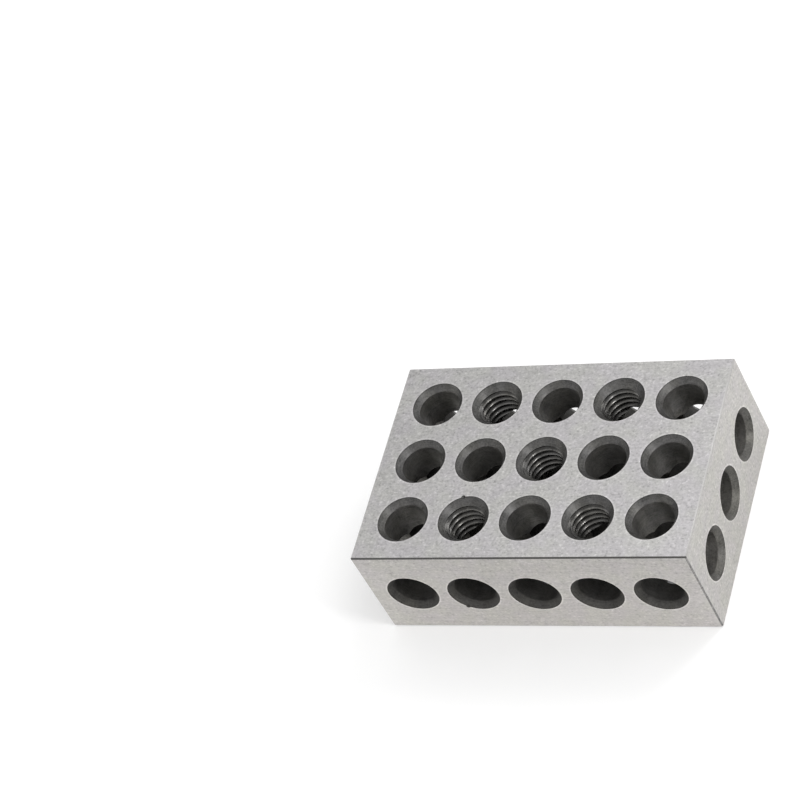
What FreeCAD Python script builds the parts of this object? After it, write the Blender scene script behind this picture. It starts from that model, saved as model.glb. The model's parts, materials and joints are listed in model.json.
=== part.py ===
import FreeCAD, Part
import math
import os

# Setup block: one hardened and ground bar of tool steel, 1 x 2 x 3 inches, drilled right
# through in all three directions on one lattice, so the holes meet inside the block.
# Millimetres.  X runs along the 3 in length, Y across the 2 in width, Z up the 1 in height.
# The origin is the centre of the bottom face.

V = FreeCAD.Vector

# ---- outer size ----
LENGTH = 76.2            # 3 in, along X
WIDTH = 50.8             # 2 in, along Y
HEIGHT = 25.4            # 1 in, along Z
EDGE_BREAK = 0.3         # 45 degree break on all twelve edges

# ---- hole lattice ----
PITCH_X = 14.2           # between columns, along the length
PITCH_Y = 15.2           # between rows, across the width
COLUMNS = (-2, -1, 0, 1, 2)
ROWS = (1, 0, -1)
CROSS_Z = 12.35          # height of the five holes along Y, a little under half height
LONG_Z = 12.15           # height of the three holes along X

# ---- holes ----
PLAIN_R = 4.62           # drilled through holes, 9.24 mm, under 3/8 in
TAP_R = 3.97             # crests of the 3/8-16 UNC thread, 5/16 in tap drill
MOUTH_R = 5.77           # radius of every countersink at the face
SINK_HALF_ANGLE = 41.0   # half of the 82 degree countersink, degrees
PASS = 1.0               # the cutters run this far past the faces

# columns and rows of the five tapped holes: the corners of an X and its centre
TAPPED = {(-1, 1), (1, 1), (0, 0), (-1, -1), (1, -1)}

# ---- handling nicks on two hole mouths, small cones sunk in the rim ----
NICK_TOP_ANGLE = 104.5   # from +X towards +Y, on the tapped hole at column -1, row -1
NICK_TOP_OUT = 5.70      # distance of the nick's centre from the hole's axis
NICK_TOP_R = 0.48        # radius of the nick at the face
NICK_TOP_DEPTH = 0.45
NICK_FRONT_ANGLE = 237.0 # from +X towards +Z, on the front hole at column -1
NICK_FRONT_OUT = 5.76
NICK_FRONT_R = 0.46
NICK_FRONT_DEPTH = 0.45


def through_cutter(start, direction, depth, radius):
    """A drill that passes right through the block, with a countersink cone at each mouth."""
    sink = (MOUTH_R - radius) / math.tan(math.radians(SINK_HALF_ANGLE))
    wide = MOUTH_R + PASS * math.tan(math.radians(SINK_HALF_ANGLE))
    # outline in the (r, along) half plane, turned once about the hole's axis
    outline = [
        (0.0, -PASS),
        (wide, -PASS),
        (radius, sink),
        (radius, depth - sink),
        (wide, depth + PASS),
        (0.0, depth + PASS),
    ]
    points = [V(r, 0, a) for r, a in outline]
    face = Part.Face(Part.makePolygon(points + points[:1]))
    solid = face.revolve(V(0, 0, 0), V(0, 0, 1), 360)
    turn = FreeCAD.Rotation(V(0, 0, 1), direction)
    solid.Placement = FreeCAD.Placement(start, turn)
    return solid


def nick(centre, normal, u, v, angle, out, radius, depth):
    """A small conical chip in the rim of a hole mouth."""
    a = math.radians(angle)
    middle = centre + u * (out * math.cos(a)) + v * (out * math.sin(a))
    small = radius * 0.35
    slope = (radius - small) / depth
    return Part.makeCone(radius + slope * 0.3, small, depth + 0.3,
                         middle + normal * 0.3, normal * -1.0)


X, Y, Z = V(1, 0, 0), V(0, 1, 0), V(0, 0, 1)

block = Part.makeBox(LENGTH, WIDTH, HEIGHT, V(-LENGTH / 2, -WIDTH / 2, 0))
block = block.makeChamfer(EDGE_BREAK, block.Edges)

cutters = []
for i in COLUMNS:
    for j in ROWS:
        radius = TAP_R if (i, j) in TAPPED else PLAIN_R
        cutters.append(through_cutter(V(i * PITCH_X, j * PITCH_Y, 0), Z, HEIGHT, radius))
for i in COLUMNS:
    cutters.append(through_cutter(V(i * PITCH_X, -WIDTH / 2, CROSS_Z), Y, WIDTH, PLAIN_R))
for j in ROWS:
    cutters.append(through_cutter(V(-LENGTH / 2, j * PITCH_Y, LONG_Z), X, LENGTH, PLAIN_R))

for cutter in cutters:
    block = block.cut(cutter)

block = block.cut(nick(V(-PITCH_X, -PITCH_Y, HEIGHT), Z, X, Y,
                       NICK_TOP_ANGLE, NICK_TOP_OUT, NICK_TOP_R, NICK_TOP_DEPTH))
block = block.cut(nick(V(-PITCH_X, -WIDTH / 2, CROSS_Z), Y * -1.0, X, Z,
                       NICK_FRONT_ANGLE, NICK_FRONT_OUT, NICK_FRONT_R, NICK_FRONT_DEPTH))

solid = block.Solids[0]
print("solids", len(block.Solids), "valid", solid.isValid(),
      "faces", len(solid.Faces), "volume mm3", round(solid.Volume, 2),
      "box", [round(c, 4) for c in (solid.BoundBox.XMin, solid.BoundBox.XMax,
                                    solid.BoundBox.YMin, solid.BoundBox.YMax,
                                    solid.BoundBox.ZMin, solid.BoundBox.ZMax)])

os.makedirs("parts", exist_ok=True)
solid.exportStep("parts/block.step")
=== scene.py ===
import json
import math
import random
import bpy
import bmesh
import numpy as np
from mathutils import Matrix, Vector


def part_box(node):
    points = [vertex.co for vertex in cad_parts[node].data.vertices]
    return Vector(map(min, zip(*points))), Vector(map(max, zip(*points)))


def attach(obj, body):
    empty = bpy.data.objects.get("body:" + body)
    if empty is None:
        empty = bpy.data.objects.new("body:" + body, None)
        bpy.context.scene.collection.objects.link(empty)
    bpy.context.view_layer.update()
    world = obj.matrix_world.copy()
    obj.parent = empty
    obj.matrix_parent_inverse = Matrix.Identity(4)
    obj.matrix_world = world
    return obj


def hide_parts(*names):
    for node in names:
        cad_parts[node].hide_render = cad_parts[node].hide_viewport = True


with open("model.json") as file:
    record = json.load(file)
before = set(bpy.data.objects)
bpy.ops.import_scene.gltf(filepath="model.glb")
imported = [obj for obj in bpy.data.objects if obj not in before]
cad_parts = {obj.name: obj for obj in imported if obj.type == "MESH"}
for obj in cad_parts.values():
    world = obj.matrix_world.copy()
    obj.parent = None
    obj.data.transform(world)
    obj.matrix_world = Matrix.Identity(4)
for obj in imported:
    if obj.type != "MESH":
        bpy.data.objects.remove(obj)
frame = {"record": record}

random.seed(11)
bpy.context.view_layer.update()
REC = frame["record"]
LO, HI = (Vector(c) * 1000.0 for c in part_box("block"))      # millimetres
SIZE = HI - LO

# ------------------------------------------------------------------ construction data, mm
EDGE_BREAK = 0.30
SINK = math.radians(41.0)
PASS = 1.0
THREAD_MAJOR = 9.525 / 2
PITCH = 25.4 / 16
SEG = 128            # segments round a drilled hole
TSEG = 132           # segments round a thread

holes = []           # every drilled hole, from the record's mounts
for m in REC["mounts"]:
    if m["kind"] not in ("bore", "threaded_hole"):
        continue
    ax = max(range(3), key=lambda k: abs(m["axis"][k]))
    p = Vector(m["pos_m"]) * 1000.0
    depth = SIZE[ax]
    start = p.copy()
    start[ax] = LO[ax]
    r = m["dims"]["r_mm"]
    sink = (depth - m["dims"]["length_mm"]) / 2
    holes.append(dict(name=m["name"], axis=ax, start=start, depth=depth, r=r, sink=sink,
                      mouth=r + sink * math.tan(SINK), tapped=m["kind"] == "threaded_hole"))


# ------------------------------------------------------------------ mesh helpers
def frame_of(axis):
    """Right-handed axes (u, v, w) with w along the hole."""
    w = Vector((0, 0, 0)); w[axis] = 1
    u = Vector((0, 0, 0)); u[(axis + 1) % 3] = 1
    v = w.cross(u)
    return u, v, w


def add_lathe(verts, faces, start, axis, profile, seg):
    """A closed turned solid: profile is (radius, along) from the low end to the high end."""
    u, v, w = frame_of(axis)
    rings = []
    for r, a in profile:
        if r < 1e-9:
            rings.append([len(verts)])
            verts.append(tuple(start + w * a))
            continue
        ring = []
        for i in range(seg):
            t = 2 * math.pi * i / seg
            ring.append(len(verts))
            verts.append(tuple(start + u * (r * math.cos(t)) + v * (r * math.sin(t)) + w * a))
        rings.append(ring)
    for lo, hi in zip(rings, rings[1:]):
        if len(lo) == 1:
            for i in range(seg):
                faces.append((lo[0], hi[(i + 1) % seg], hi[i]))
        elif len(hi) == 1:
            for i in range(seg):
                faces.append((hi[0], lo[i], lo[(i + 1) % seg]))
        else:
            for i in range(seg):
                k = (i + 1) % seg
                faces.append((lo[i], lo[k], hi[k], hi[i]))


def add_thread(verts, faces, start, depth, minor, phase):
    """The space a 3/8-16 tap leaves: a right-hand helical solid that runs past both faces."""
    h = THREAD_MAJOR - minor
    flank = h * math.tan(math.radians(30))
    root = PITCH / 8
    crest = PITCH - root - 2 * flank
    b, bs = 0.09, 0.09 * math.tan(math.radians(30))
    prof = [(0.0, THREAD_MAJOR), (root, THREAD_MAJOR),
            (root + flank - bs, minor + b), (root + flank + 0.06, minor),
            (root + flank + crest - 0.06, minor), (root + flank + crest + bs, minor + b)]
    K = len(prof)
    t0 = math.floor((-PASS - 2.2 * PITCH - phase) / PITCH)
    t1 = math.ceil((depth + PASS + 1.2 * PITCH - phase) / PITCH)
    rows = (t1 - t0) * K
    base = len(verts)
    for m in range(rows):
        s, r = prof[m % K]
        z = PITCH * (t0 + m // K) + s + phase
        for i in range(TSEG):
            t = 2 * math.pi * i / TSEG
            verts.append((start.x + r * math.cos(t), start.y + r * math.sin(t),
                          start.z + z + PITCH * i / TSEG))
    idx = lambda m, i: base + m * TSEG + i
    for m in range(rows - 1):
        for i in range(TSEG - 1):
            faces.append((idx(m, i), idx(m, i + 1), idx(m + 1, i + 1), idx(m + 1, i)))
        if m + K + 1 < rows:
            faces.append((idx(m, TSEG - 1), idx(m + K, 0), idx(m + K + 1, 0), idx(m + 1, TSEG - 1)))
    # lower cap, a fan to the axis
    low = len(verts)
    verts.append((start.x, start.y, start.z + PITCH * t0 + phase))
    for i in range(TSEG - 1):
        faces.append((low, idx(0, i + 1), idx(0, i)))
    faces.append((low, idx(K, 0), idx(0, TSEG - 1)))
    for m in range(K):
        faces.append((low, idx(m, 0), idx(m + 1, 0)))
    # upper cap: the last row runs round, and the step at the seam closes it
    last = rows - 1
    high = len(verts)
    verts.append((start.x, start.y, start.z + PITCH * t1 + PITCH + phase))
    for i in range(TSEG - 1):
        faces.append((high, idx(last, i), idx(last, i + 1)))
    faces.append((high, idx(last - K, TSEG - 1), idx(last, 0)))
    for m in range(last - K, last):
        faces.append((high, idx(m + 1, TSEG - 1), idx(m, TSEG - 1)))


def mesh_of(name, verts, faces):
    me = bpy.data.meshes.new(name)
    me.from_pydata(verts, [], faces)
    bm = bmesh.new()
    bm.from_mesh(me)
    bmesh.ops.recalc_face_normals(bm, faces=bm.faces)
    open_edges = sum(1 for e in bm.edges if not e.is_manifold)
    if bm.calc_volume(signed=True) < 0:
        bmesh.ops.reverse_faces(bm, faces=bm.faces)
    bm.to_mesh(me)
    bm.free()
    if open_edges:
        print("OPEN EDGES in", name, open_edges)
    return me


def cut(target, cutter_mesh):
    """target = target - cutter, by the Manifold solver."""
    tool = bpy.data.objects.new("tmp_tool", cutter_mesh)
    bpy.context.scene.collection.objects.link(tool)
    mod = target.modifiers.new("cut", "BOOLEAN")
    mod.operation = "DIFFERENCE"
    mod.solver = "MANIFOLD"
    mod.object = tool
    bpy.context.view_layer.update()
    dg = bpy.context.evaluated_depsgraph_get()
    new = bpy.data.meshes.new_from_object(target.evaluated_get(dg))
    target.modifiers.clear()
    old = target.data
    target.data = new
    bpy.data.meshes.remove(old)
    bpy.data.objects.remove(tool)
    bpy.data.meshes.remove(cutter_mesh)


# ------------------------------------------------------------------ the block
def chamfered_box():
    bm = bmesh.new()
    bmesh.ops.create_cube(bm, size=1.0)
    for v in bm.verts:
        v.co = Vector(((LO[k] + HI[k]) / 2 + v.co[k] * SIZE[k] for k in range(3)))
    bmesh.ops.bevel(bm, geom=bm.edges[:], offset=EDGE_BREAK, offset_type="OFFSET",
                    segments=1, profile=0.5, affect="EDGES")
    me = bpy.data.meshes.new("setup_block")
    bm.to_mesh(me)
    bm.free()
    return me


block = bpy.data.objects.new("setup_block", chamfered_box())
bpy.context.scene.collection.objects.link(block)


def drill_profile(h):
    wide = h["mouth"] + PASS * math.tan(SINK)
    return [(0, -PASS), (wide, -PASS), (h["r"], h["sink"]),
            (h["r"], h["depth"] - h["sink"]), (wide, h["depth"] + PASS), (0, h["depth"] + PASS)]


# the thread's starting phase in each tapped hole, mm
PHASE = {"tapped_back_2": -0.75, "tapped_back_4": 0.49, "tapped_middle_3": -0.64,
         "tapped_front_2": -0.81, "tapped_front_4": -0.76}

V, F = [], []
for h in holes:                                  # upright holes: drilled, or the thread itself
    if h["axis"] == 2 and not h["tapped"]:
        add_lathe(V, F, h["start"], 2, drill_profile(h), SEG)
    elif h["axis"] == 2:
        add_thread(V, F, h["start"], h["depth"], h["r"], PHASE.get(h["name"], 0.0))
cut(block, mesh_of("upright", V, F))
V, F = [], []
for h in holes:                                  # countersinks of the tapped holes
    if h["tapped"]:
        wide = h["mouth"] + PASS * math.tan(SINK)
        deep = h["mouth"] / math.tan(SINK)
        add_lathe(V, F, h["start"], 2, [(0, -PASS), (wide, -PASS), (0, deep)], SEG)
        add_lathe(V, F, h["start"], 2, [(0, h["depth"] - deep), (wide, h["depth"] + PASS),
                                        (0, h["depth"] + PASS)], SEG)
cut(block, mesh_of("sinks", V, F))
for axis in (1, 0):
    V, F = [], []
    for h in holes:
        if h["axis"] == axis:
            add_lathe(V, F, h["start"], axis, drill_profile(h), SEG)
    cut(block, mesh_of("cross", V, F))

# handling nicks on two hole mouths
BY_NAME = {h["name"]: h for h in holes}
top_mouth = BY_NAME["tapped_front_2"]["start"].copy()
top_mouth.z = HI.z
front_mouth = BY_NAME["cross_hole_2"]["start"].copy()
front_mouth.y = LO.y
NICKS = [
    # mouth centre, outward axis, u, v, angle, distance out, radius at face, depth
    (top_mouth, Vector((0, 0, 1)), Vector((1, 0, 0)), Vector((0, 1, 0)),
     104.5, 5.70, 0.48, 0.45),
    (front_mouth, Vector((0, -1, 0)), Vector((1, 0, 0)), Vector((0, 0, 1)),
     237.0, 5.76, 0.46, 0.45),
]
V, F = [], []
for c, n, u, v, ang, out, r, deep in NICKS:
    a = math.radians(ang)
    mid = c + u * (out * math.cos(a)) + v * (out * math.sin(a))
    small = r * 0.35
    slope = (r - small) / deep
    prof = [(0, -0.3), (r + slope * 0.3, -0.3), (small, deep), (0, deep)]
    w = -n
    ring_axes = (u, v) if u.cross(v).dot(w) > 0 else (v, u)
    rings = []
    for rr, aa in prof:
        if rr < 1e-9:
            rings.append([len(V)]); V.append(tuple(mid + w * aa)); continue
        ring = []
        for i in range(40):
            t = 2 * math.pi * i / 40
            ring.append(len(V))
            V.append(tuple(mid + ring_axes[0] * (rr * math.cos(t)) + ring_axes[1] * (rr * math.sin(t)) + w * aa))
        rings.append(ring)
    for lo, hi in zip(rings, rings[1:]):
        for i in range(40):
            k = (i + 1) % 40
            if len(lo) == 1:
                F.append((lo[0], hi[k], hi[i]))
            elif len(hi) == 1:
                F.append((hi[0], lo[i], lo[k]))
            else:
                F.append((lo[i], lo[k], hi[k], hi[i]))
cut(block, mesh_of("nicks", V, F))
print("BLOCK", len(block.data.vertices), "verts", len(block.data.polygons), "polys")

# ------------------------------------------------------------------ which surface each face is
FACE_X, FACE_Y, FACE_Z, BREAK, SINKS, WALL, THREAD, SINKS_Y, WALL_Y, SINKS_X, WALL_X = range(11)
me = block.data
bm = bmesh.new()
bm.from_mesh(me)
bmesh.ops.remove_doubles(bm, verts=bm.verts, dist=1e-5)
bmesh.ops.dissolve_degenerate(bm, edges=bm.edges, dist=1e-5)
bm.normal_update()
lay = bm.faces.layers.int.new("surface")
lay_hole = bm.faces.layers.int.new("hole_index")
MID = (LO + HI) / 2
for f in bm.faces:
    c = f.calc_center_median()
    n = f.normal
    kind, which = None, -1
    for k in range(3):
        if abs(n[k]) > 0.9995 and min(abs(c[k] - LO[k]), abs(c[k] - HI[k])) < 1e-3:
            kind = k
    if kind is None:
        near = [min(c[k] - LO[k], HI[k] - c[k]) < EDGE_BREAK * 1.05 for k in range(3)]
        flat = sorted(abs(x) for x in n)
        if sum(near) >= 2 and flat[1] > 0.5:
            kind = BREAK
    if kind is None:
        best = (9e9, -1, WALL)
        for q, h in enumerate(holes):
            u, v, w = frame_of(h["axis"])
            d = c - h["start"]
            rad, a = math.hypot(d.dot(u), d.dot(v)), d.dot(w)
            if rad > h["mouth"] + 0.5:
                continue
            m = min(a, h["depth"] - a)
            # distance from the cone, the wall or the thread of this hole
            cone = abs((rad - (h["mouth"] - m * math.tan(SINK))) * math.cos(SINK))
            if m < h["sink"] + 0.9 and cone < best[0] - 1e-6 and rad > h["r"] - 0.05:
                best = (cone, q, SINKS)
            if h["tapped"]:
                if h["r"] - 0.03 <= rad <= THREAD_MAJOR + 0.03 and m > h["sink"] - 0.9:
                    # a thread face belongs to it unless a cone or cross hole fits better
                    best = min(best, (0.02, q, THREAD))
            else:
                best = min(best, (abs(rad - h["r"]), q, WALL))
        kind, which = best[2], best[1]
        # the same scale is split by the face its hole opens on, so each copy can take its own colour for how those
        # holes are lit: painted light and shade
        if kind != THREAD and which >= 0 and holes[which]["axis"] < 2:
            kind = {(SINKS, 1): SINKS_Y, (WALL, 1): WALL_Y,
                    (SINKS, 0): SINKS_X, (WALL, 0): WALL_X}[kind, holes[which]["axis"]]
    f[lay] = kind
    f[lay_hole] = which
    f.smooth = True
bm.to_mesh(me)
bm.free()

# hole coordinates at every face corner: across, across, depth from the nearer mouth, mm
kinds = np.zeros(len(me.polygons), np.int32)
me.attributes["surface"].data.foreach_get("value", kinds)
which = np.zeros(len(me.polygons), np.int32)
me.attributes["hole_index"].data.foreach_get("value", which)
co = np.zeros(len(me.vertices) * 3)
me.vertices.foreach_get("co", co)
co = co.reshape(-1, 3)
lv = np.zeros(len(me.loops), np.int32)
me.loops.foreach_get("vertex_index", lv)
ls = np.zeros(len(me.polygons), np.int32)
lt = np.zeros(len(me.polygons), np.int32)
me.polygons.foreach_get("loop_start", ls)
me.polygons.foreach_get("loop_total", lt)
owner = np.repeat(np.arange(len(me.polygons)), lt)
P = co[lv]
local = np.zeros((len(me.loops), 3), np.float32)
for q, h in enumerate(holes):
    sel = which[owner] == q
    if not sel.any():
        continue
    u, v, w = (np.array(x) for x in frame_of(h["axis"]))
    d = P[sel] - np.array(h["start"])
    a = d @ w
    local[sel] = np.c_[d @ u, d @ v, np.minimum(a, h["depth"] - a)]
att = me.attributes.new("hole", "FLOAT_VECTOR", "CORNER")
att.data.foreach_set("vector", local.ravel())
me.set_sharp_from_angle(angle=math.radians(36))
print("KINDS", {k: int((kinds == k).sum()) for k in range(11)})
print("TRIS", int((lt - 2).sum()))


# ------------------------------------------------------------------ materials
class Nodes:
    """Short-hand for building a node tree."""

    def __init__(self, name):
        self.mat = bpy.data.materials.new(name)
        self.mat.use_nodes = True
        self.t = self.mat.node_tree
        self.t.nodes.clear()
        self.out = self.t.nodes.new("ShaderNodeOutputMaterial")
        self.bsdf = self.t.nodes.new("ShaderNodeBsdfPrincipled")
        self.t.links.new(self.bsdf.outputs[0], self.out.inputs[0])

    def link(self, a, b):
        self.t.links.new(a, b)

    def put(self, socket, value):
        if hasattr(value, "links"):
            self.link(value, socket)
        else:
            socket.default_value = value

    def math(self, op, a, b=None, c=None, clamp=False):
        n = self.t.nodes.new("ShaderNodeMath")
        n.operation = op
        n.use_clamp = clamp
        for s, x in zip(n.inputs, (a, b, c)):
            if x is not None:
                self.put(s, x)
        return n.outputs[0]

    def vmul(self, v, xyz):
        n = self.t.nodes.new("ShaderNodeVectorMath")
        n.operation = "MULTIPLY"
        self.put(n.inputs[0], v)
        n.inputs[1].default_value = xyz
        return n.outputs[0]

    def vadd(self, v, w):
        n = self.t.nodes.new("ShaderNodeVectorMath")
        n.operation = "ADD"
        self.put(n.inputs[0], v)
        self.put(n.inputs[1], w)
        return n.outputs[0]

    def position(self):
        """Object position in millimetres."""
        n = self.t.nodes.new("ShaderNodeTexCoord")
        return self.vmul(n.outputs["Object"], (1000.0, 1000.0, 1000.0))

    def split(self, v):
        n = self.t.nodes.new("ShaderNodeSeparateXYZ")
        self.put(n.inputs[0], v)
        return n.outputs[0], n.outputs[1], n.outputs[2]

    def join(self, x, y, z):
        n = self.t.nodes.new("ShaderNodeCombineXYZ")
        for s, a in zip(n.inputs, (x, y, z)):
            self.put(s, a)
        return n.outputs[0]

    def noise(self, v, scale, detail=2.0, rough=0.5, dim="3D", distortion=0.0):
        n = self.t.nodes.new("ShaderNodeTexNoise")
        n.noise_dimensions = dim
        self.put(n.inputs["Vector"], v)
        n.inputs["Scale"].default_value = scale
        n.inputs["Detail"].default_value = detail
        n.inputs["Roughness"].default_value = rough
        n.inputs["Distortion"].default_value = distortion
        return n.outputs[0]

    def ramp(self, x, stops, mode="LINEAR"):
        n = self.t.nodes.new("ShaderNodeValToRGB")
        n.color_ramp.interpolation = mode
        e = n.color_ramp.elements
        while len(e) < len(stops):
            e.new(0.5)
        for el, (p, c) in zip(e, stops):
            el.position = p
            el.color = (*c, 1.0) if len(c) == 3 else c
        self.put(n.inputs[0], x)
        return n.outputs[0]

    def remap(self, x, a, b, c, d, clamp=True):
        n = self.t.nodes.new("ShaderNodeMapRange")
        n.clamp = clamp
        self.put(n.inputs[0], x)
        for s, k in zip(n.inputs[1:5], (a, b, c, d)):
            s.default_value = k
        return n.outputs[0]

    def mix(self, f, a, b, kind="MIX"):
        n = self.t.nodes.new("ShaderNodeMix")
        n.data_type = "RGBA"
        n.blend_type = kind
        self.put(n.inputs[0], f)
        self.put(n.inputs[6], a if hasattr(a, "links") else (*a, 1.0))
        self.put(n.inputs[7], b if hasattr(b, "links") else (*b, 1.0))
        return n.outputs[2]

    def bump(self, height, strength, distance_m, normal=None):
        n = self.t.nodes.new("ShaderNodeBump")
        n.inputs["Strength"].default_value = strength
        n.inputs["Distance"].default_value = distance_m
        self.put(n.inputs["Height"], height)
        if normal is not None:
            self.put(n.inputs["Normal"], normal)
        return n.outputs[0]


def mouth_distance(s, axis, p):
    """Distance from the nearest hole's axis, on a face square to `axis`, mm."""
    here = [h for h in holes if h["axis"] == axis]
    parts = s.split(p)
    terms = []
    for k in range(3):
        if k == axis:
            continue
        at = sorted({round(h["start"][k], 4) for h in here})
        if len(at) == 1:
            terms.append(s.math("SUBTRACT", parts[k], at[0]))
            continue
        step = at[1] - at[0]
        # fold the row of holes on to one hole
        turned = s.math("PINGPONG", s.math("SUBTRACT", parts[k], at[0]), step / 2)
        inside = s.math("MULTIPLY", s.math("GREATER_THAN", parts[k], at[0]), s.math("LESS_THAN", parts[k], at[-1]))
        low = s.math("SUBTRACT", parts[k], at[0])
        high = s.math("SUBTRACT", parts[k], at[-1])
        edge = s.math("MINIMUM", s.math("ABSOLUTE", low), s.math("ABSOLUTE", high))
        terms.append(s.math("ADD", s.math("MULTIPLY", turned, inside),
                            s.math("MULTIPLY", edge, s.math("SUBTRACT", 1.0, inside))))
    sq = [s.math("MULTIPLY", t, t) for t in terms]
    return s.math("SQRT", s.math("ADD", sq[0], sq[1])), max(h["mouth"] for h in here)


def ground_material(name, axis, grain_axis, tint, amount, streak, mouth_ring_gain):
    """Surface-ground steel. grain_axis is the direction the wheel travelled."""
    s = Nodes(name)
    p = s.position()
    x, y, z = s.split(p)
    along = lambda k: tuple(k if a == grain_axis else 1.0 for a in range(3))
    # mottled grain about a third of a millimetre across, a little longer with the wheel
    grain = s.noise(s.vmul(p, along(0.85)), 2.3, 1.2, 0.50)
    coarse = s.noise(s.vadd(p, (12.0, 3.0, 21.0)), 0.62, 2.0, 0.55)
    pits = s.noise(s.vadd(s.vmul(p, along(0.8)), (31.0, 7.0, 3.0)), 2.1, 1.0, 0.5)
    # the wheel's lines: long and fine
    lines = s.noise(s.vmul(p, along(0.035)), 2.6, 2.0, 0.6)
    fine = s.noise(s.vmul(p, along(0.03)), 9.0, 2.0, 0.5)
    broad = s.noise(p, 0.050, 2.0, 0.5)
    g = s.math("ADD", s.remap(grain, 0.2, 0.8, -0.20 * amount, 0.20 * amount, False),
               s.remap(coarse, 0.25, 0.75, -0.06 * amount, 0.06 * amount, False))
    g = s.math("ADD", g, s.remap(lines, 0.25, 0.75, -0.11 * streak, 0.11 * streak, False))
    g = s.math("ADD", g, s.remap(broad, 0.3, 0.7, -0.02, 0.02))
    dark = s.remap(pits, 0.60, 0.74, 0.0, 0.34 * amount)
    light = s.remap(pits, 0.26, 0.40, 0.30 * amount, 0.0)
    v = s.math("ADD", s.math("SUBTRACT", s.math("ADD", g, 1.0), dark), light)
    if axis == 2:
        # painted light and shade: the top's colour is made lighter towards its right and front and darker towards its
        # left and back, following the fall of light across it
        up = s.math("GREATER_THAN", z, MID.z)
        slope = s.math("ADD", s.math("MULTIPLY", x, 0.075 / HI.x), s.math("MULTIPLY", y, -0.035 / HI.y))
        v = s.math("ADD", v, s.math("MULTIPLY", slope, up))
    if axis == 1:
        # painted light and shade: the front is made darker towards its top and lighter towards its bottom, to even
        # out the floor's reflection, which is darker on its lower part
        near = s.math("LESS_THAN", y, MID.y)
        slope = s.math("MULTIPLY", s.math("SUBTRACT", z, MID.z), -0.115 / (SIZE.z / 2))
        v = s.math("ADD", v, s.math("MULTIPLY", slope, near))
    # a narrow paler ring round each mouth
    dist, mouth = mouth_distance(s, axis, p)
    ring = s.math("MULTIPLY", s.remap(dist, mouth + 0.12, mouth + 0.42, mouth_ring_gain, 0.0),
                  s.remap(coarse, 0.3, 0.6, 0.55, 1.0))
    v = s.math("MULTIPLY", v, s.math("ADD", ring, 1.0))
    col = s.mix(1.0, tint, s.join(v, v, v), "MULTIPLY")
    warm = s.noise(s.vadd(p, (5.0, 50.0, 9.0)), 0.21, 2.0, 0.5)
    col = s.mix(s.remap(warm, 0.38, 0.62, 0.0, 1.0), s.mix(1.0, col, (1.004, 0.994, 1.012), "MULTIPLY"),
                s.mix(1.0, col, (0.999, 1.004, 0.982), "MULTIPLY"))
    s.link(col, s.bsdf.inputs["Base Color"])
    s.bsdf.inputs["Metallic"].default_value = 1.0
    s.link(s.remap(grain, 0.25, 0.75, 0.42, 0.54), s.bsdf.inputs["Roughness"])
    height = s.math("ADD", s.math("MULTIPLY", lines, 0.6), s.math("MULTIPLY", fine, 0.5))
    height = s.math("ADD", height, s.math("MULTIPLY", grain, 0.35))
    s.link(s.bump(height, 0.20, 0.0002), s.bsdf.inputs["Normal"])
    return s.mat


def scale_material(name, base, rough, metal, rings, ring_scale, crest=None, root=None, rim=None,
                   inner=1.0, deep=1.0, grit_amount=0.28):
    """Dark heat-treatment scale in the holes, with the cutter's rings showing through."""
    s = Nodes(name)
    p = s.position()
    n = s.t.nodes.new("ShaderNodeAttribute")
    n.attribute_name = "hole"
    u, v, d = s.split(n.outputs["Vector"])
    blotch = s.noise(p, 0.45, 3.0, 0.6)
    grit = s.noise(p, 2.6, 2.0, 0.6)
    ring = s.noise(s.join(s.math("MULTIPLY", u, 0.05), s.math("MULTIPLY", v, 0.05), d), ring_scale, 2.0, 0.6)
    k = s.math("ADD", s.remap(blotch, 0.3, 0.7, 0.78, 1.22), s.remap(grit, 0.25, 0.75, -grit_amount, grit_amount))
    k = s.math("ADD", k, s.remap(ring, 0.3, 0.7, -rings, rings))
    colour = base
    if crest is not None:
        # painted light and shade: the crests are made paler and the roots darker, for the light the crests catch and
        # the shade in the roots
        rad = s.math("SQRT", s.math("ADD", s.math("MULTIPLY", u, u), s.math("MULTIPLY", v, v)))
        colour = s.mix(s.remap(rad, crest[0], root[0], 0.0, 1.0), crest[1], root[1])
    if rim is not None:
        # a darker line just under the mouth, and a ramp down the cone set by inner: paler at the drill's edge for
        # inner above one, darker there for inner below one
        k = s.math("MULTIPLY", k, s.remap(d, 0.04, 0.26, rim, 1.0))
        k = s.math("MULTIPLY", k, s.remap(d, 0.25, 1.25, 2.0 - inner, inner))
    if deep != 1.0:
        # paler towards the middle of the bore
        k = s.math("MULTIPLY", k, s.remap(d, 3.5, 9.0, 1.0, deep))
    col = s.mix(1.0, colour, s.join(k, k, k), "MULTIPLY")
    hue = s.noise(s.vadd(p, (40.0, 2.0, 17.0)), 0.22, 2.0, 0.5)
    col = s.mix(s.remap(hue, 0.4, 0.62, 0.0, 0.55), col, s.mix(1.0, col, (1.01, 1.0, 0.93), "MULTIPLY"))
    s.link(col, s.bsdf.inputs["Base Color"])
    s.bsdf.inputs["Metallic"].default_value = metal
    s.link(s.remap(grit, 0.2, 0.8, rough - 0.06, rough + 0.08), s.bsdf.inputs["Roughness"])
    height = s.math("ADD", s.math("MULTIPLY", ring, 0.7), s.math("MULTIPLY", grit, 0.35))
    s.link(s.bump(height, 0.35, 0.0002), s.bsdf.inputs["Normal"])
    return s.mat


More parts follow.
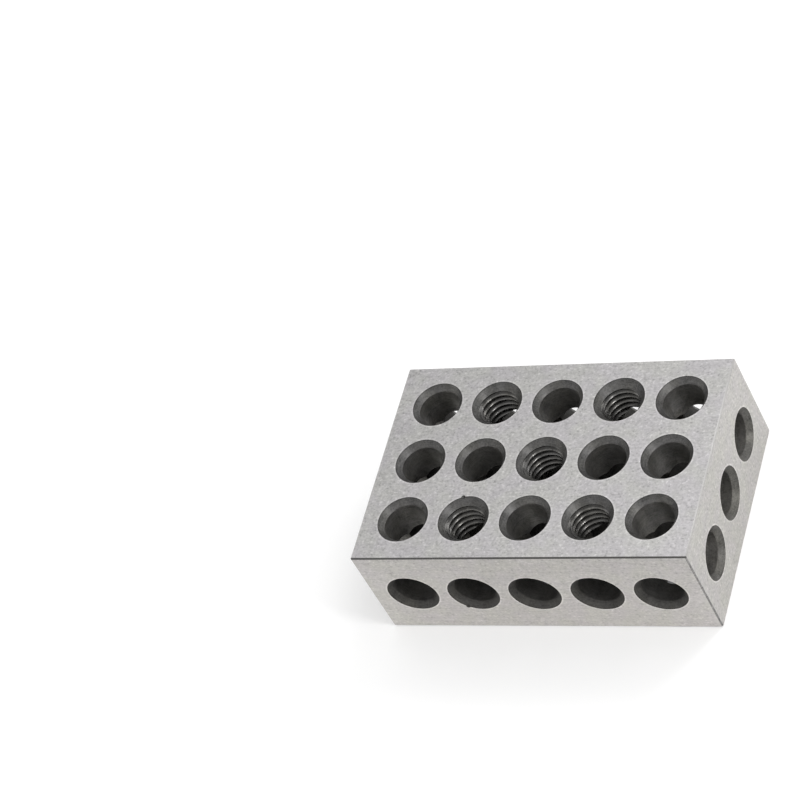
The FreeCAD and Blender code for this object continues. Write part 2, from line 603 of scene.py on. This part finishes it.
def break_material(name):
    """The edge breaks: scale left from hardening, worn bright in places."""
    s = Nodes(name)
    p = s.position()
    x, y, z = s.split(p)
    wear = s.noise(p, 0.9, 3.0, 0.65)
    fleck = s.noise(p, 3.2, 2.0, 0.6)
    t = s.math("ADD", s.math("MULTIPLY", wear, 0.55), s.math("MULTIPLY", fleck, 0.45))
    front = s.math("LESS_THAN", y, LO.y + 0.4)
    side = s.math("GREATER_THAN", x, HI.x - 0.4)
    top = s.math("GREATER_THAN", z, HI.z - 0.4)
    front_top = s.math("MULTIPLY", front, top)
    corner = s.math("MULTIPLY", s.math("MULTIPLY", side, front), s.math("SUBTRACT", 1.0, top))
    side_top = s.math("MULTIPLY", s.math("MULTIPLY", side, top), s.math("SUBTRACT", 1.0, front))
    # most edges are worn bright with specks of scale; the long front top one is made darker
    f = s.math("SUBTRACT", t, s.math("ADD", 0.33, s.math("MULTIPLY", front_top, 0.352)))
    f = s.math("ADD", s.math("MULTIPLY", f, 9.0), s.math("MULTIPLY", side_top, 0.6), clamp=True)
    # the front right corner gets a middle tone along its whole length
    half = s.math("ADD", s.math("MULTIPLY", s.math("SUBTRACT", t, 0.5), 1.6), CORNER_TONE, clamp=True)
    f = s.math("ADD", s.math("MULTIPLY", f, s.math("SUBTRACT", 1.0, corner)), s.math("MULTIPLY", half, corner))
    col = s.mix(f, (0.060, 0.058, 0.055), (0.56, 0.55, 0.54))
    # the right-hand top one is darker, most of all at its front end
    right_top_darken = s.remap(y, LO.y, HI.y, 0.38, 0.05)
    k = s.math("SUBTRACT", 1.0, s.math("MULTIPLY", side_top, right_top_darken))
    col = s.mix(1.0, col, s.join(k, k, k), "MULTIPLY")
    s.link(col, s.bsdf.inputs["Base Color"])
    s.link(s.math("ADD", 0.35, s.math("MULTIPLY", f, 0.6)), s.bsdf.inputs["Metallic"])
    s.link(s.math("ADD", 0.42, s.math("MULTIPLY", side_top, 0.12)), s.bsdf.inputs["Roughness"])
    s.link(s.bump(fleck, 0.3, 0.0001), s.bsdf.inputs["Normal"])
    return s.mat


CORNER_TONE = 0.30
mats = [None] * 11
mats[FACE_Z] = ground_material("ground_top_bottom", 2, 0, (0.495, 0.487, 0.485), 0.78, 0.40, 0.18)
mats[FACE_Y] = ground_material("ground_long_sides", 1, 0, (0.505, 0.489, 0.471), 0.62, 0.75, 0.30)
# painted shade: the ends' tint is set a little darker than the top's to offset the lamps that light them
mats[FACE_X] = ground_material("ground_ends_painted_shade", 0, 1, (0.468, 0.456, 0.440), 0.90, 0.30, 0.30)
mats[BREAK] = break_material("edge_breaks")
mats[SINKS] = scale_material("countersink_scale", (0.100, 0.0980, 0.0965), 0.46, 0.85, 0.14, 5.0, rim=0.62,
                             inner=1.08, grit_amount=0.36)
# painted shade: the countersinks on the long sides are the same scale as the others, given a darker colour and a ramp
# darker towards the drill's edge for the shade in them
mats[SINKS_Y] = scale_material("countersink_scale_painted_shade_long_sides", (0.062, 0.060, 0.057), 0.58, 0.85, 0.14, 5.0, rim=0.80,
                               inner=0.88, grit_amount=0.36)
# painted light and shade: the countersinks on the ends are the same scale again, with their tone set for how the ends
# are lit
mats[SINKS_X] = scale_material("countersink_scale_painted_light_and_shade_ends", (0.101, 0.098, 0.092), 0.46, 0.85, 0.14, 5.0, rim=0.95,
                               grit_amount=0.36)
mats[WALL] = scale_material("bore_scale", (0.172, 0.168, 0.162), 0.48, 0.75, 0.12, 2.4, deep=1.45)
# painted shade: the cross bores are the same scale as the upright bores, made much darker for the shade in them
mats[WALL_Y] = scale_material("cross_bore_scale_painted_shade", (0.068, 0.066, 0.063), 0.70, 0.75, 0.12, 2.4)
# painted light and shade: the bores along the block are the same scale as the upright bores, with their tone set for
# how the ends are lit
mats[WALL_X] = scale_material("long_bore_scale_painted_light_and_shade", (0.162, 0.157, 0.149), 0.46, 0.75, 0.12, 2.4)
# painted light and shade in the threads: pale crests, dark roots
mats[THREAD] = scale_material("thread_scale_painted_light_and_shade", None, 0.26, 0.90, 0.05, 3.0,
                              crest=(4.00, (0.145, 0.142, 0.138)), root=(4.32, (0.046, 0.045, 0.044)))
me.materials.clear()
for m in mats:
    me.materials.append(m)
me.polygons.foreach_set("material_index", kinds)
me.attributes.remove(me.attributes["surface"])
me.attributes.remove(me.attributes["hole_index"])
me.transform(Matrix.Scale(0.001, 4))
me.update()

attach(block, "root")
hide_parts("block")

# ------------------------------------------------------------------ floor, light, camera
fm = Nodes("floor_white")
fm.bsdf.inputs["Base Color"].default_value = (0.95, 0.95, 0.95, 1)
fm.bsdf.inputs["Roughness"].default_value = 0.9
bpy.ops.mesh.primitive_plane_add(size=8.0, location=(0, 0, -0.00002))
floor = bpy.context.object
floor.name = "studio_floor"
floor.data.materials.append(fm.mat)

world = bpy.data.worlds.new("studio")
bpy.context.scene.world = world
world.use_nodes = True
wt = world.node_tree
wt.nodes.clear()
wo = wt.nodes.new("ShaderNodeOutputWorld")
bg = wt.nodes.new("ShaderNodeBackground")
bg.inputs[0].default_value = (1.0, 1.0, 1.0, 1)
bg.inputs[1].default_value = 0.91
wt.links.new(bg.outputs[0], wo.inputs[0])


def area(name, loc, target, size, power, colour=(1, 1, 1)):
    L = bpy.data.lights.new(name, "AREA")
    L.shape = "RECTANGLE"
    L.size, L.size_y = size
    L.energy = power
    L.color = colour
    o = bpy.data.objects.new(name, L)
    bpy.context.scene.collection.objects.link(o)
    o.location = loc
    o.rotation_euler = (Vector(target) - Vector(loc)).to_track_quat("-Z", "Y").to_euler()
    return o


MID_M = Vector((0, 0, 0.0127))


def softbox(name, direction, distance, side, power, centre=MID_M):
    d = Vector(direction).normalized()
    return area(name, centre + d * distance, centre, (side, side), power)


softbox("right", (0.78, -0.19, 0.60), 0.55, 0.14, 0.80)
softbox("back_right", (0.35, 0.65, 0.67), 0.70, 0.30, 1.45)
softbox("left", (-0.90, -0.15, 0.42), 0.60, 0.30, 0.33)
softbox("front", (-0.10, -0.88, 0.46), 0.70, 0.50, 0.25)

cam_data = bpy.data.cameras.new("camera")
cam = bpy.data.objects.new("camera", cam_data)
bpy.context.scene.collection.objects.link(cam)
cam_data.sensor_width = 36.0
cam_data.lens = 3286.5 * 36.0 / 800.0
cam_data.clip_start = 0.01
cam_data.clip_end = 20.0
right = Vector((0.8944936482, 0.2501535108, -0.3705459949))
down = Vector((-0.0259356409, -0.7983824874, -0.6015918437))
ahead = Vector((-0.4463277449, 0.5477304308, -0.7076601722))
m = Matrix.Identity(4)
for k, col in enumerate((right, -down, -ahead)):
    for r in range(3):
        m[r][k] = col[r]
m.translation = Vector((0.282645, -0.376698, 0.533733))
cam.matrix_world = m
bpy.context.scene.camera = cam
bpy.context.scene.view_settings.view_transform = "Standard"
